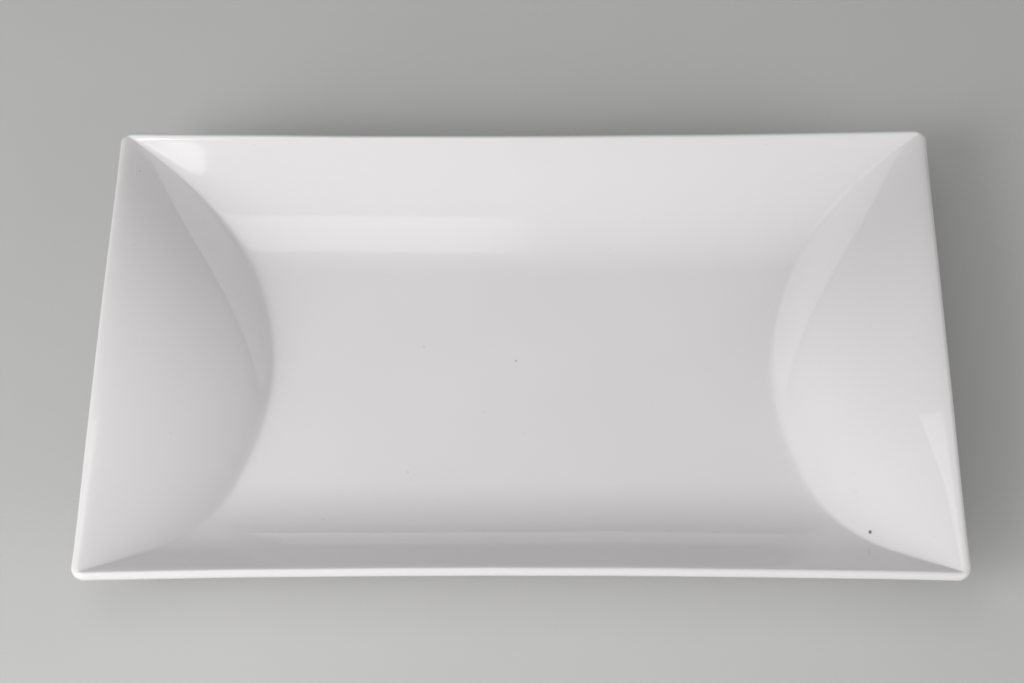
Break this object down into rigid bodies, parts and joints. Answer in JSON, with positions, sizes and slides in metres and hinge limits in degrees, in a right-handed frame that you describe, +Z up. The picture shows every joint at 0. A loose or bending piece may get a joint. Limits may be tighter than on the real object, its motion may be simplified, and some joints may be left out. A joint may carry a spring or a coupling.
{
  "type": "rectangular plate",
  "caption": "Rectangular white porcelain serving plate: a trough-shaped well closed by domed ends with arched rims, a thin rounded lip, a glaze coat and a low unglazed foot ring.",
  "frame": {"origin": "middle of the foot ring's resting face, on the table", "axes": "+X along the plate's length, +Y across it, +Z up out of the well"},
  "size_m": [0.3494, 0.2112, 0.0496],
  "materials": {
    "porcelain": "dry fired porcelain, off-white, matt",
    "white_glaze": "clear gloss glaze over white porcelain"
  },
  "bodies": {
    "root": {"porcelain_body": "porcelain", "foot_ring": "porcelain", "glaze_coat": "white_glaze", "foot_well_glaze": "white_glaze"}
  },
  "joints": []
}
